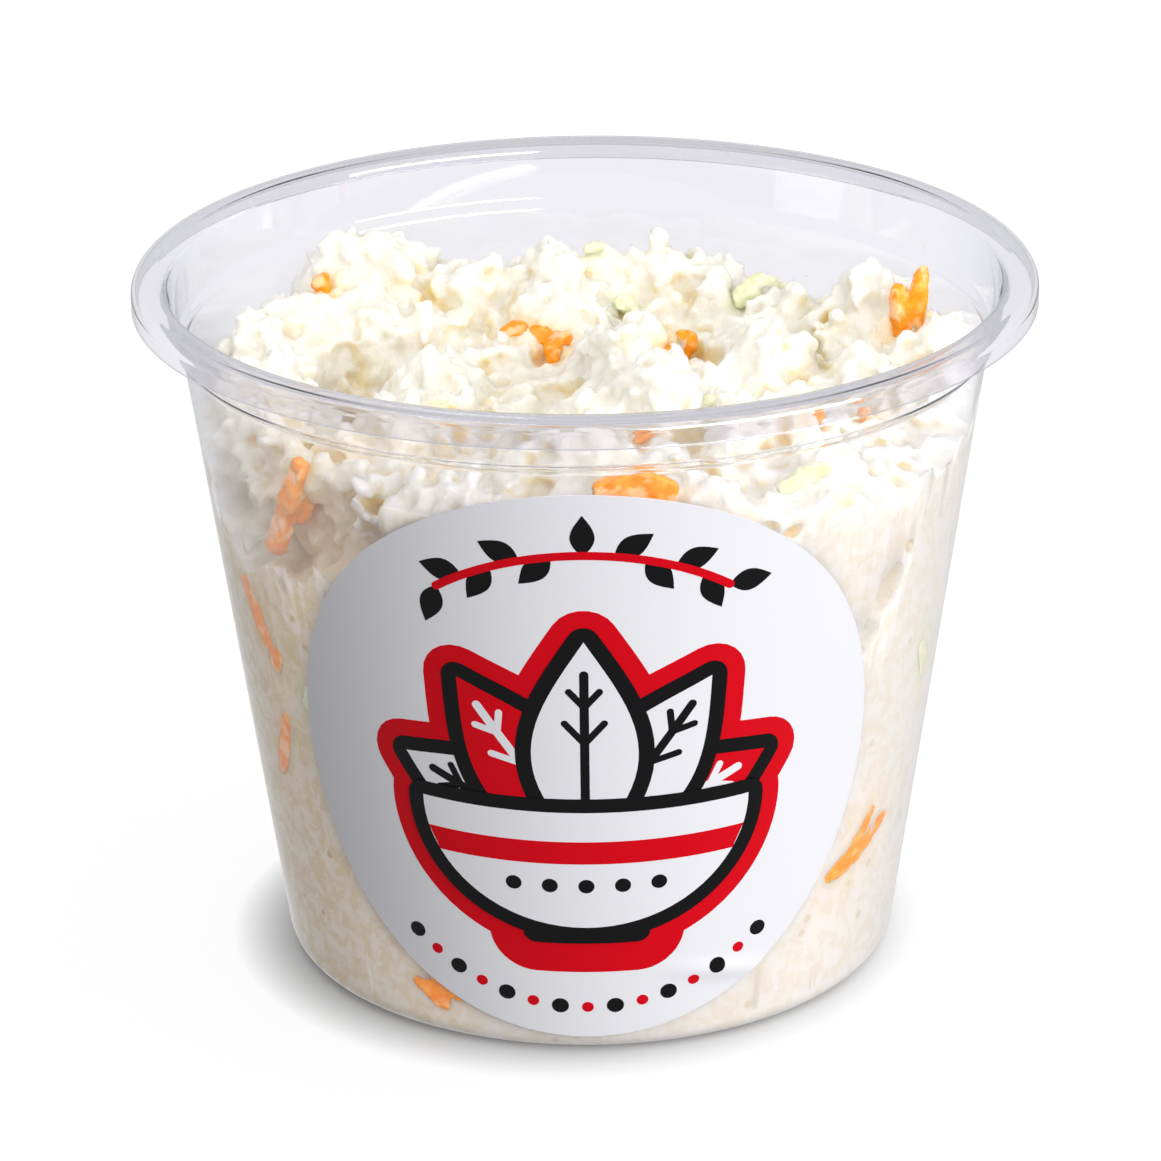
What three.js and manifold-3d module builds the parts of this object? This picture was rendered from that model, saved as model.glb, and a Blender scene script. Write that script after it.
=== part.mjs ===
// A clear thermoformed deli cup, filled almost to its ledge with finely chopped coleslaw, with a round
// stick-on label on its front. Millimetres, +Z up, +X to the right, the label faces -Y, and the origin is
// the centre of the cup's foot on the surface that it stands on.
import * as THREE from "three";
import { mergeVertices } from "three/addons/utils/BufferGeometryUtils.js";
import Module from "manifold-3d";

const wasm = await Module();
wasm.setup();

// ---- Driving dimensions ----
const rimDiameter = 92;
const cupHeight = 73;
const sheet = 0.5; // thickness of the formed plastic
const coneFootRadius = 31.55; // the tapered wall's outer radius, carried down to the floor
const coneSlope = 0.144; // outer radius gained for each millimetre of height
const ledgeHeight = 66.3; // where the wall steps out to carry a recessed lid
const ledgeStep = { out: 0.8, up: 0.6 };
const footPanel = { radius: 25.6, height: 1.75 }; // the raised middle of the base, at mid-sheet
const footRingInner = 27.4;
const heelRadius = 2.6;
const flange = { innerTurn: 1.1, outerTurn: 1.0, lipBottom: 70.3 };
const cupSides = 60;

const label = { diameter: 63, thickness: 0.3, gap: 0.3, topHeight: 64, rings: 5, sides: 36 };

const clearance = 0.3; // between the salad and the plastic
const heap = { level: 61.8, highest: 68, coreSides: 40, coreRings: 9, wallRings: 7, seed: 20 };

// ---- Cup ----
const coneRadius = (z) => coneFootRadius + coneSlope * z;
const coneAngle = Math.atan(coneSlope); // from the vertical

// Points of an arc from angle a0 to a1 (degrees), both ends included.
function arc(x, y, radius, a0, a1, steps) {
  return Array.from({ length: steps + 1 }, (_, i) => {
    const a = THREE.MathUtils.degToRad(a0 + ((a1 - a0) * i) / steps);
    return new THREE.Vector2(x + radius * Math.cos(a), y + radius * Math.sin(a));
  });
}

// The middle of the sheet as (radius, height), from the axis out and up to the end of the rim's lip.
function sheetMiddle() {
  const half = sheet / 2;
  const mid = (z) => coneRadius(z) - half / Math.cos(coneAngle);
  const tilt = THREE.MathUtils.radToDeg(coneAngle);
  const heelTop = half + heelRadius * (1 - Math.sin(coneAngle));
  const heelCentre = mid(heelTop) - heelRadius * Math.cos(coneAngle);
  const flangeZ = cupHeight - half;
  const lipRadius = rimDiameter / 2 - half;
  const collarTop = lipRadius - flange.outerTurn - 1.1 - flange.innerTurn;
  return [
    new THREE.Vector2(0, footPanel.height),
    new THREE.Vector2(footPanel.radius, footPanel.height),
    new THREE.Vector2(footRingInner, half),
    ...arc(heelCentre, half + heelRadius, heelRadius, -90, -tilt, 3),
    new THREE.Vector2(mid(ledgeHeight), ledgeHeight),
    new THREE.Vector2(mid(ledgeHeight) + ledgeStep.out, ledgeHeight + ledgeStep.up),
    ...arc(collarTop + flange.innerTurn, flangeZ - flange.innerTurn, flange.innerTurn, 180, 90, 2),
    ...arc(lipRadius - flange.outerTurn, flangeZ - flange.outerTurn, flange.outerTurn, 90, 0, 3),
    new THREE.Vector2(lipRadius, flange.lipBottom),
  ];
}

// The line moved sideways by d, to the right of its direction, with mitred corners.
function offsetLine(line, d) {
  return line.map((p, i) => {
    const before = line[Math.max(i, 1)].clone().sub(line[Math.max(i, 1) - 1]).normalize();
    const last = Math.min(i + 1, line.length - 1);
    const after = line[last].clone().sub(line[last - 1]).normalize();
    const mitre = before.add(after).normalize();
    const out = new THREE.Vector2(mitre.y, -mitre.x);
    return p.clone().addScaledVector(out, d / Math.max(0.5, mitre.dot(after)));
  });
}

// A lathe's own axis is Y, so it is turned to stand along Z.
const standing = (profile, sides) => new THREE.LatheGeometry(profile, sides).rotateX(Math.PI / 2);

function cupGeometry() {
  const middle = sheetMiddle();
  const outside = offsetLine(middle, sheet / 2);
  const inside = offsetLine(middle, -sheet / 2).reverse();
  return standing([...outside, ...inside], cupSides);
}

// ---- Label ----
// A flat point (u across, v up the wall from the label's centre) laid on the cone, lifted by `lift`.
function onCone(u, v, lift) {
  const fromApex = (z) => coneRadius(z) / Math.sin(coneAngle);
  const centre = fromApex(label.topHeight) - label.diameter / 2;
  const slant = Math.hypot(u, centre + v);
  const around = Math.atan2(u, centre + v) / Math.sin(coneAngle);
  const radius = slant * Math.sin(coneAngle);
  const r = radius + lift * Math.cos(coneAngle);
  const z = (radius - coneFootRadius) / coneSlope - lift * Math.sin(coneAngle);
  return new THREE.Vector3(r * Math.sin(around), -r * Math.cos(around), z);
}

// A flat round plate, whose two faces have the same triangles, wrapped on the wall.
function labelGeometry() {
  const half = label.thickness / 2;
  const rings = Array.from({ length: label.rings + 1 }, (_, i) => {
    return new THREE.Vector2((label.diameter / 2) * (i / label.rings), -half);
  });
  const back = rings.map((p) => new THREE.Vector2(p.x, half)).reverse();
  const plate = standing([...rings, ...back], label.sides);
  const at = plate.getAttribute("position");
  for (let i = 0; i < at.count; i++) {
    const p = onCone(at.getX(i), at.getY(i), label.gap + half + at.getZ(i));
    at.setXYZ(i, p.x, p.y, p.z);
  }
  return plate;
}

// ---- Coleslaw ----
// Mounds and hollows of the heap's top, beside its general level: place, height and width.
const mounds = [
  { x: -23, y: 26, rise: 5.0, wide: 6 },
  { x: -1, y: 23, rise: 4.6, wide: 7 },
  { x: 21, y: 24, rise: 3.0, wide: 5 },
  { x: 32, y: 17, rise: 4.2, wide: 6 },
  { x: 37, y: -2, rise: 2.8, wide: 8 },
  { x: -33, y: 9, rise: 2.4, wide: 6 },
  { x: 2, y: -6, rise: 2.0, wide: 12 },
  { x: 6, y: -34, rise: 2.0, wide: 9 },
  { x: -24, y: -4, rise: -5.0, wide: 6 },
  { x: 20, y: -9, rise: -3.0, wide: 6 },
  { x: -11, y: 32, rise: -2.5, wide: 6 },
  { x: -34, y: -22, rise: -4.0, wide: 9 },
];

// Repeatable random numbers from 0 to 1.
function makeRandom(seed) {
  let state = seed;
  return () => {
    state = (state + 0x6d2b79f5) | 0;
    let t = Math.imul(state ^ (state >>> 15), 1 | state);
    t = (t + Math.imul(t ^ (t >>> 7), 61 | t)) ^ t;
    return ((t ^ (t >>> 14)) >>> 0) / 4294967296;
  };
}

// Height of the heap's top over a point of the plan.
function heapHeight(x, y) {
  const lumps = mounds.reduce((sum, m) => {
    const far = ((x - m.x) ** 2 + (y - m.y) ** 2) / (m.wide * m.wide);
    return sum + m.rise * Math.exp(-far);
  }, 0);
  const crumbs = Math.sin(x * 0.71 + 1.3 * Math.sin(y * 0.43)) * Math.sin(y * 0.67 + 0.8);
  return heap.level + lumps + 0.9 * crumbs;
}

// How far the salad's side stands in from the wall: nothing where it is pressed on, more near the top.
function sideGap(around, z) {
  const lowest = 52 + 5 * Math.sin(around * 2 + 1.9) + 2.5 * Math.sin(around * 5 + 0.7);
  const open = THREE.MathUtils.smoothstep(z, lowest, heap.level + 1);
  return open * (2.6 + 1.4 * Math.sin(around * 7 + z * 0.5) + 1.8 * Math.sin(around + 2.4));
}

const innerRadius = (z) => coneRadius(z) - sheet / Math.cos(coneAngle);
const saladFloor = footPanel.height + sheet / 2 + clearance;

// The packed salad without its loose pieces.
function coreGeometry() {
  const side = Array.from({ length: heap.wallRings + 1 }, (_, i) => {
    const z = 5 + ((heap.level - 5) * i) / heap.wallRings;
    return new THREE.Vector2(innerRadius(z) - clearance, z);
  });
  const edge = side[side.length - 1];
  const top = Array.from({ length: heap.coreRings }, (_, i) => {
    return new THREE.Vector2(edge.x * (1 - (i + 1) / heap.coreRings), heap.level);
  });
  const bottom = [new THREE.Vector2(0, saladFloor), new THREE.Vector2(28.4, saladFloor)];
  const core = standing([...bottom, ...side, ...top], heap.coreSides);
  const at = core.getAttribute("position");
  for (let i = 0; i < at.count; i++) {
    const x = at.getX(i);
    const y = at.getY(i);
    const z = at.getZ(i);
    const radius = Math.hypot(x, y);
    const onTop = z > heap.level - 1e-3;
    const share = onTop ? radius / edge.x : 1;
    const gap = Math.max(0, sideGap(Math.atan2(y, x), z)) * share;
    const shrink = radius > 0 ? (radius - gap) / radius : 1;
    const lifted = onTop ? heapHeight(x * shrink, y * shrink) : z;
    at.setXYZ(i, x * shrink, y * shrink, lifted);
  }
  return core;
}

// One chopped shred: a thin strip of rectangular section, curled along its length and a little twisted.
function shredGeometry(length, width, thick, curl, twist) {
  const strip = new THREE.BoxGeometry(length, width, thick, 2, 1, 1);
  const at = strip.getAttribute("position");
  for (let i = 0; i < at.count; i++) {
    const s = at.getX(i) / length; // -0.5 to 0.5
    const narrow = 1 - 1.1 * s * s;
    const p = new THREE.Vector3(0, at.getY(i) * narrow, at.getZ(i));
    p.applyAxisAngle(new THREE.Vector3(1, 0, 0), twist * s);
    const turn = curl * s;
    p.x = (length * Math.sin(turn)) / curl;
    p.z += (length * (Math.cos(turn) - 1)) / curl;
    at.setXYZ(i, p.x, p.y, p.z);
  }
  return strip;
}

// Kinds of shred, with the ranges that their sizes are drawn from.
const shredKinds = [
  { share: 0.62, length: [5, 9], width: [2.2, 3.8], thick: [0.9, 1.3] }, // cabbage leaf
  { share: 0.24, length: [4, 6], width: [1.6, 2.4], thick: [1.3, 1.9] }, // cabbage stalk
  { share: 0.14, length: [6, 10], width: [1.6, 2.2], thick: [1.2, 1.6] }, // carrot
];
const topShreds = { rings: 6, spacing: 7, tilt: 0.75 };
const sideShreds = { count: 20, lowest: 54, highest: 60, tilt: 0.5 };

function drawnShred(random) {
  const pick = random();
  let total = 0;
  const kind = shredKinds.find((k) => (total += k.share) > pick) ?? shredKinds[0];
  const between = ([a, b]) => a + (b - a) * random();
  const curl = 0.5 + 0.9 * random();
  return shredGeometry(between(kind.length), between(kind.width), between(kind.thick), curl, 1.2 * (random() - 0.5));
}

// Turns a shred at random about the surface's normal, tips it by up to `tilt`, and sets it in place.
function placed(strip, point, normal, tilt, random) {
  const up = new THREE.Vector3(0, 0, 1);
  const spin = new THREE.Quaternion().setFromAxisAngle(up, random() * Math.PI * 2);
  const axis = new THREE.Vector3(random() - 0.5, random() - 0.5, 0).normalize();
  const tip = new THREE.Quaternion().setFromAxisAngle(axis, tilt * (2 * random() - 1));
  const stand = new THREE.Quaternion().setFromUnitVectors(up, normal);
  const turn = stand.multiply(tip).multiply(spin);
  return strip.applyMatrix4(new THREE.Matrix4().compose(point, turn, new THREE.Vector3(1, 1, 1)));
}

function topPieces(random) {
  const pieces = [];
  for (let ring = 0; ring < topShreds.rings; ring++) {
    const radius = topShreds.spacing * (ring + 0.15);
    const count = Math.max(1, Math.round((2 * Math.PI * radius) / topShreds.spacing));
    for (let i = 0; i < count; i++) {
      const a = ((i + 0.6 * random()) / count) * Math.PI * 2 + ring;
      const r = Math.min(radius + 1.8 * (random() - 0.5), innerRadius(heap.level) - 4.5);
      const x = r * Math.cos(a);
      const y = r * Math.sin(a);
      const step = 1.5;
      const slopeX = (heapHeight(x + step, y) - heapHeight(x - step, y)) / (2 * step);
      const slopeY = (heapHeight(x, y + step) - heapHeight(x, y - step)) / (2 * step);
      const normal = new THREE.Vector3(-slopeX, -slopeY, 1).normalize();
      const point = new THREE.Vector3(x, y, heapHeight(x, y) + 0.2 + 0.5 * random());
      pieces.push(placed(drawnShred(random), point, normal, topShreds.tilt, random));
    }
  }
  return pieces;
}

function sidePieces(random) {
  return Array.from({ length: sideShreds.count }, (_, i) => {
    const a = ((i + 0.5 * random()) / sideShreds.count) * Math.PI * 2;
    const z = sideShreds.lowest + (sideShreds.highest - sideShreds.lowest) * random();
    const r = innerRadius(z) - clearance - Math.max(1.2, sideGap(a, z) - 0.4);
    const point = new THREE.Vector3(r * Math.cos(a), r * Math.sin(a), z);
    const normal = new THREE.Vector3(Math.cos(a), Math.sin(a), 0.2).normalize();
    return placed(drawnShred(random), point, normal, sideShreds.tilt, random);
  });
}

// The room inside the cup that the salad keeps to.
function roomGeometry() {
  const ledge = innerRadius(ledgeHeight) - clearance;
  return standing(
    [
      new THREE.Vector2(0, saladFloor - 0.01),
      new THREE.Vector2(28.41, saladFloor - 0.01),
      new THREE.Vector2(innerRadius(5) - clearance + 0.01, 5),
      new THREE.Vector2(ledge, ledgeHeight),
      new THREE.Vector2(ledge, heap.highest),
      new THREE.Vector2(0, heap.highest),
    ],
    heap.coreSides,
  );
}

function solidOf(geometry) {
  const bare = geometry.clone();
  bare.deleteAttribute("normal");
  bare.deleteAttribute("uv");
  const merged = mergeVertices(bare, 1e-4);
  const numbers = new wasm.Mesh({
    numProp: 3,
    vertProperties: new Float32Array(merged.getAttribute("position").array),
    triVerts: new Uint32Array(merged.index.array),
  });
  return new wasm.Manifold(numbers);
}

function geometryOf(solid) {
  const { numProp, vertProperties, triVerts } = solid.getMesh();
  const at = new Float32Array((vertProperties.length / numProp) * 3);
  for (let i = 0; i < at.length / 3; i++) {
    at.set(vertProperties.subarray(i * numProp, i * numProp + 3), i * 3);
  }
  const geometry = new THREE.BufferGeometry();
  geometry.setAttribute("position", new THREE.BufferAttribute(at, 3));
  geometry.setIndex(new THREE.BufferAttribute(triVerts, 1));
  return geometry;
}

function coleslawGeometry() {
  const random = makeRandom(heap.seed);
  const pieces = [...topPieces(random), ...sidePieces(random)].map(solidOf);
  const fused = pieces.reduce((sum, piece) => sum.add(piece), solidOf(coreGeometry()));
  const kept = fused.intersect(solidOf(roomGeometry()));
  const bodies = kept.decompose().sort((a, b) => b.volume() - a.volume());
  return geometryOf(bodies[0]); // scraps that the trimming cuts loose are dropped
}

// ---- Assembly ----
function node(name, geometry, look) {
  const mesh = new THREE.Mesh(geometry, new THREE.MeshStandardMaterial(look));
  mesh.name = name;
  return mesh;
}

const clearPlastic = { color: 0xe6eaf2, roughness: 0.06, metalness: 0, transparent: true, opacity: 0.35 };
const dressedCabbage = { color: 0xf6f0dd, roughness: 0.45, metalness: 0 };
const whiteVinyl = { color: 0xf1f1f5, roughness: 0.35, metalness: 0 };

const part = new THREE.Group();
part.add(node("cup", cupGeometry(), clearPlastic));
part.add(node("coleslaw", coleslawGeometry(), dressedCabbage));
part.add(node("label", labelGeometry(), whiteVinyl));

export default part;
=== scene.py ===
import math
import random
import bpy
import numpy as np
from mathutils import Matrix, Quaternion, Vector, noise
from mathutils.bvhtree import BVHTree
from mathutils.kdtree import KDTree


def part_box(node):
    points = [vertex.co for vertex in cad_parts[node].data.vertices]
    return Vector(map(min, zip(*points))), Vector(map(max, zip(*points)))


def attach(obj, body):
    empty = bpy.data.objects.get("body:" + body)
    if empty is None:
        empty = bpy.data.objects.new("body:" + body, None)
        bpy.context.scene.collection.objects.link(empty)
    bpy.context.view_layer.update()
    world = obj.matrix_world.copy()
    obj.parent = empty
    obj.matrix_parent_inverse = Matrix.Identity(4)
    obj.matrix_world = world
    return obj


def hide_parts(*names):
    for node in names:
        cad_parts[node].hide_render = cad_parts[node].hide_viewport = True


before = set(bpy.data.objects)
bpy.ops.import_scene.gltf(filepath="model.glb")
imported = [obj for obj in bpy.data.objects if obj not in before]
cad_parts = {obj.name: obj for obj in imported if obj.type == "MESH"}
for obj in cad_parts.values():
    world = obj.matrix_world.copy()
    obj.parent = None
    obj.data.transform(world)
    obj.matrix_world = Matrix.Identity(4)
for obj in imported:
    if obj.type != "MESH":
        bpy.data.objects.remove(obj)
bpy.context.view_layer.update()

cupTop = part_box("cup")[1]  # the far upper corner of the CAD cup
mm = 0.001


def deselectAll():
    if bpy.context.object and bpy.context.object.mode != "OBJECT":
        bpy.ops.object.mode_set(mode="OBJECT")
    bpy.ops.object.select_all(action="DESELECT")


def makeActive(piece):
    deselectAll()
    piece.select_set(True)
    bpy.context.view_layer.objects.active = piece


def applyModifiers(piece):
    makeActive(piece)
    for modifier in list(piece.modifiers):
        bpy.ops.object.modifier_apply(modifier=modifier.name)


def addModifier(piece, kind, **settings):
    modifier = piece.modifiers.new(kind.title(), kind)
    for name, value in settings.items():
        setattr(modifier, name, value)


def smoothFaces(piece, degrees):
    makeActive(piece)
    bpy.ops.object.shade_smooth_by_angle(angle=math.radians(degrees))


def finishPiece(piece, node, material):
    piece.data.materials.clear()
    piece.data.materials.append(material)
    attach(piece, "root")
    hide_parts(node)


# a line of (radius, height) points in mm, turned once round the Z axis
def spunShape(name, line, steps):
    deselectAll()
    bpy.ops.mesh.primitive_plane_add(size=mm, location=(0, 0, 0))
    piece = bpy.context.object
    piece.name = piece.data.name = name
    bpy.ops.object.mode_set(mode="EDIT")
    bpy.ops.mesh.merge(type="CENTER")
    bpy.ops.transform.translate(value=(line[0][0] * mm, 0, line[0][1] * mm))
    for (r0, z0), (r1, z1) in zip(line, line[1:]):
        move = {"value": ((r1 - r0) * mm, 0, (z1 - z0) * mm)}
        bpy.ops.mesh.extrude_region_move(TRANSFORM_OT_translate=move)
    bpy.ops.mesh.select_all(action="SELECT")
    bpy.ops.mesh.spin(steps=steps, angle=math.tau, center=(0, 0, 0), axis=(0, 0, 1))
    bpy.ops.mesh.select_all(action="SELECT")
    bpy.ops.mesh.remove_doubles(threshold=0.004 * mm)
    bpy.ops.mesh.normals_make_consistent(inside=False)
    bpy.ops.object.mode_set(mode="OBJECT")
    return piece


def meshPiece(name, points, faces):
    mesh = bpy.data.meshes.new(name)
    mesh.from_pydata((np.asarray(points) * mm).tolist(), [], faces)
    mesh.update()
    piece = bpy.data.objects.new(name, mesh)
    bpy.context.scene.collection.objects.link(piece)
    return piece


def smoothStep(low, high, value):
    t = min(1.0, max(0.0, (value - low) / (high - low)))
    return t * t * (3 - 2 * t)


def linearColor(hexText, alpha=1.0):
    values = [int(hexText[i:i + 2], 16) / 255 for i in (1, 3, 5)]
    return (*[v / 12.92 if v <= 0.04045 else ((v + 0.055) / 1.055) ** 2.4 for v in values], alpha)


def newMaterial(name):
    material = bpy.data.materials.new(name)
    material.use_nodes = True
    material.node_tree.nodes.clear()
    return material


# adds a node, sets its properties and sockets, and links the sockets that are given another node's output
def addNode(material, kind, properties=None, **sockets):
    node = material.node_tree.nodes.new(kind)
    for name, value in (properties or {}).items():
        setattr(node, name, value)
    for name, value in sockets.items():
        key = int(name[1:]) if name[0] == "i" and name[1:].isdigit() else name.replace("_", " ")
        if isinstance(value, bpy.types.NodeSocket):
            material.node_tree.links.new(value, node.inputs[key])
        else:
            node.inputs[key].default_value = value
    return node


def addRamp(material, factor, stops):
    ramp = addNode(material, "ShaderNodeValToRGB", i0=factor)
    elements = ramp.color_ramp.elements
    while len(elements) < len(stops):
        elements.new(0.5)
    for element, (position, hexText) in zip(elements, stops):
        element.position = position
        element.color = linearColor(hexText)
    return ramp.outputs["Color"]


plasticLook = {"faceOn": "#edecf1", "edgeOn": "#cfd2dc", "roughness": 0.025, "ior": 1.575,
               "shadowTint": "#fcfcfc"}


# thermoformed PET sheet: clear and glossy, with a cool grey tint where the sheet is seen edge on
def clearPet():
    material = newMaterial("clearThermoformedPet")
    turned = addNode(material, "ShaderNodeLayerWeight", Blend=0.4)
    tint = addRamp(material, turned.outputs["Facing"],
                   [(0.35, plasticLook["faceOn"]), (0.85, plasticLook["edgeOn"])])
    shine = addNode(material, "ShaderNodeBsdfPrincipled", Base_Color=tint, Roughness=plasticLook["roughness"],
                    IOR=plasticLook["ior"], Transmission_Weight=1.0)
    letThrough = addNode(material, "ShaderNodeBsdfTransparent", Color=linearColor(plasticLook["shadowTint"]))
    rays = addNode(material, "ShaderNodeLightPath")
    mix = addNode(material, "ShaderNodeMixShader", i0=rays.outputs["Is Shadow Ray"],
                  i1=shine.outputs[0], i2=letThrough.outputs[0])
    addNode(material, "ShaderNodeOutputMaterial", Surface=mix.outputs[0])
    return material


# the salad's colours; two are painted shade: the yellow for its hollows, and the warm tint multiplied in on
# the side away from the key softbox
slawLook = {"bright": "#e5e2da", "body": "#e3dfd2", "creviceShade": "#e8d190", "carrotStain": "#f9d898",
            "leafGreen": "#d9dcae", "dressing": "#d2c3a0", "packed": "#dfdbd6", "paintedShade": "#efdaa9",
            "speck": "#b7a078", "roughness": 0.36, "scatterMm": 3.2, "grainMm": 1.2, "patchMm": 7.0,
            "bitMm": 1.8, "speckMm": 3.4}


# chopped cabbage bound in mayonnaise: creamy, light soaks in a millimetre or two, moist satin shine, a
# painted deeper yellow shade in its hollows and a painted warm shade on the side away from the key softbox,
# stained by the carrot next to it;
# on the wall, pale bits in a darker dressing
def dressedCabbage():
    material = newMaterial("cabbageInMayonnaise")
    place = addNode(material, "ShaderNodeTexCoord").outputs["Object"]

    def share(name):
        return addNode(material, "ShaderNodeAttribute", {"attribute_name": name}).outputs["Fac"]

    def times(a, b):
        return addNode(material, "ShaderNodeMath", {"operation": "MULTIPLY"}, i0=a, i1=b).outputs[0]

    def over(colour, factor, hexText, blend="MIX"):
        return addNode(material, "ShaderNodeMix", {"data_type": "RGBA", "blend_type": blend}, i0=factor,
                       i6=colour, i7=linearColor(hexText)).outputs[2]

    patches = addNode(material, "ShaderNodeTexNoise", Vector=place, Scale=1000 / slawLook["patchMm"],
                      Detail=4.0, Roughness=0.6)
    ground = addRamp(material, patches.outputs["Fac"], [(0.32, slawLook["body"]), (0.62, slawLook["bright"])])
    bits = addNode(material, "ShaderNodeTexNoise", Vector=place, Scale=1000 / slawLook["bitMm"], Detail=3.0,
                   Roughness=0.65, Distortion=0.6)
    between = addNode(material, "ShaderNodeMapRange", Value=bits.outputs["Fac"], From_Min=0.56, From_Max=0.42)
    # the mottling on the wall shows more strongly under the painted shade
    shadeContrast = addNode(material, "ShaderNodeMapRange", Value=share("paintedShade"), From_Max=0.5, To_Min=0.3,
                       To_Max=0.9)
    onWall = times(shadeContrast.outputs["Result"], share("pressed"))
    colour = over(ground, share("pressed"), slawLook["packed"])
    colour = over(colour, times(between.outputs["Result"], onWall), slawLook["dressing"])
    cells = addNode(material, "ShaderNodeTexVoronoi", Vector=place, Scale=1000 / slawLook["speckMm"])
    dots = addNode(material, "ShaderNodeMapRange", Value=cells.outputs["Distance"], From_Min=0.17,
                   From_Max=0.09)
    some = addNode(material, "ShaderNodeMath", {"operation": "GREATER_THAN"}, i0=cells.outputs["Color"],
                   i1=0.55)
    specks = times(times(dots.outputs["Result"], some.outputs[0]), onWall)
    colour = over(colour, specks, slawLook["speck"])
    # painted shade: darker and warmer on the side away from the key softbox
    colour = over(colour, share("paintedShade"), slawLook["paintedShade"], "MULTIPLY")
    # painted shade: a deeper yellow in the hollows
    colour = over(colour, share("hollowShade"), slawLook["creviceShade"])
    colour = over(colour, share("carrotStain"), slawLook["carrotStain"])
    colour = over(colour, share("leafGreen"), slawLook["leafGreen"])
    grain = addNode(material, "ShaderNodeTexNoise", Vector=place, Scale=1000 / slawLook["grainMm"],
                    Detail=3.0, Roughness=0.6)
    curds = addNode(material, "ShaderNodeTexVoronoi", {"feature": "SMOOTH_F1"}, Vector=place,
                    Scale=1000 / slawLook["grainMm"] / 1.2, Smoothness=0.6)
    both = addNode(material, "ShaderNodeMath", {"operation": "SUBTRACT"}, i0=grain.outputs["Fac"],
                   i1=curds.outputs["Distance"])
    free = addNode(material, "ShaderNodeMapRange", Value=share("pressed"), To_Min=0.7, To_Max=0.1)
    bump = addNode(material, "ShaderNodeBump", Height=both.outputs[0], Strength=free.outputs["Result"],
                   Distance=0.4 * mm)
    wet = addNode(material, "ShaderNodeMapRange", Value=patches.outputs["Fac"], From_Min=0.3, From_Max=0.7,
                  To_Min=slawLook["roughness"] - 0.08, To_Max=slawLook["roughness"] + 0.1)
    cream = addNode(material, "ShaderNodeBsdfPrincipled", Base_Color=colour, Roughness=wet.outputs["Result"],
                    Normal=bump.outputs["Normal"], IOR=1.44, Subsurface_Weight=0.9,
                    Subsurface_Radius=(1.0, 0.98, 0.93), Subsurface_Scale=slawLook["scatterMm"] * mm)
    addNode(material, "ShaderNodeOutputMaterial", Surface=cream.outputs[0])
    return material


carrotLook = {"flesh": "#fd9a0c", "pale": "#ffb44c", "deep": "#f38a00", "film": "#fbcfa6", "fibreMm": 0.6,
              "filmMm": 2.4}


# raw carrot, grated: wet orange flesh with paler fibres along it, in places under a film of dressing
def rawCarrot():
    material = newMaterial("gratedRawCarrot")
    place = addNode(material, "ShaderNodeTexCoord").outputs["Object"]
    fibre = addNode(material, "ShaderNodeTexNoise", Vector=place, Scale=1000 / carrotLook["fibreMm"] / 2,
                    Detail=3.0, Roughness=0.6)
    colour = addRamp(material, fibre.outputs["Fac"],
                     [(0.3, carrotLook["deep"]), (0.5, carrotLook["flesh"]), (0.72, carrotLook["pale"])])
    film = addNode(material, "ShaderNodeTexNoise", Vector=place, Scale=1000 / carrotLook["filmMm"],
                   Detail=3.0)
    under = addNode(material, "ShaderNodeMapRange", Value=film.outputs["Fac"], From_Min=0.52, From_Max=0.62,
                    To_Max=0.7)
    colour = addNode(material, "ShaderNodeMix", {"data_type": "RGBA"}, i0=under.outputs["Result"], i6=colour,
                     i7=linearColor(carrotLook["film"])).outputs[2]
    bump = addNode(material, "ShaderNodeBump", Height=fibre.outputs["Fac"], Strength=0.4, Distance=0.15 * mm)
    flesh = addNode(material, "ShaderNodeBsdfPrincipled", Base_Color=colour, Roughness=0.3, IOR=1.4,
                    Normal=bump.outputs["Normal"], Subsurface_Weight=0.35,
                    Subsurface_Radius=(1.0, 0.6, 0.3), Subsurface_Scale=1.0 * mm)
    addNode(material, "ShaderNodeOutputMaterial", Surface=flesh.outputs[0])
    return material


greenLook = {"leaf": "#d0d3a8", "vein": "#e9e8cf", "patchMm": 1.6}


# outer cabbage leaf, chopped: pale green, thin enough for light to come through
def greenCabbage():
    material = newMaterial("choppedGreenCabbage")
    place = addNode(material, "ShaderNodeTexCoord").outputs["Object"]
    veins = addNode(material, "ShaderNodeTexNoise", Vector=place, Scale=1000 / greenLook["patchMm"],
                    Detail=4.0)
    colour = addRamp(material, veins.outputs["Fac"], [(0.35, greenLook["leaf"]), (0.68, greenLook["vein"])])
    leaf = addNode(material, "ShaderNodeBsdfPrincipled", Base_Color=colour, Roughness=0.3, IOR=1.4,
                   Subsurface_Weight=0.5, Subsurface_Radius=(0.9, 1.0, 0.6), Subsurface_Scale=1.0 * mm)
    addNode(material, "ShaderNodeOutputMaterial", Surface=leaf.outputs[0])
    return material


stickerLook = {"white": "#f6f6fb", "red": "#e0051a", "black": "#0b0b0d", "roughness": 0.3, "toothMm": 0.5}


# coated sticker paper, printed: even colour with a satin varnish over it
def stickerPaper(name, hexText):
    material = newMaterial(name)
    place = addNode(material, "ShaderNodeTexCoord").outputs["Object"]
    tooth = addNode(material, "ShaderNodeTexNoise", Vector=place, Scale=1000 / stickerLook["toothMm"],
                    Detail=2.0)
    bump = addNode(material, "ShaderNodeBump", Height=tooth.outputs["Fac"], Strength=0.05,
                   Distance=0.02 * mm)
    paper = addNode(material, "ShaderNodeBsdfPrincipled", Base_Color=linearColor(hexText), IOR=1.5,
                    Roughness=stickerLook["roughness"], Specular_IOR_Level=0.12,
                    Normal=bump.outputs["Normal"])
    addNode(material, "ShaderNodeOutputMaterial", Surface=paper.outputs[0])
    return material


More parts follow.
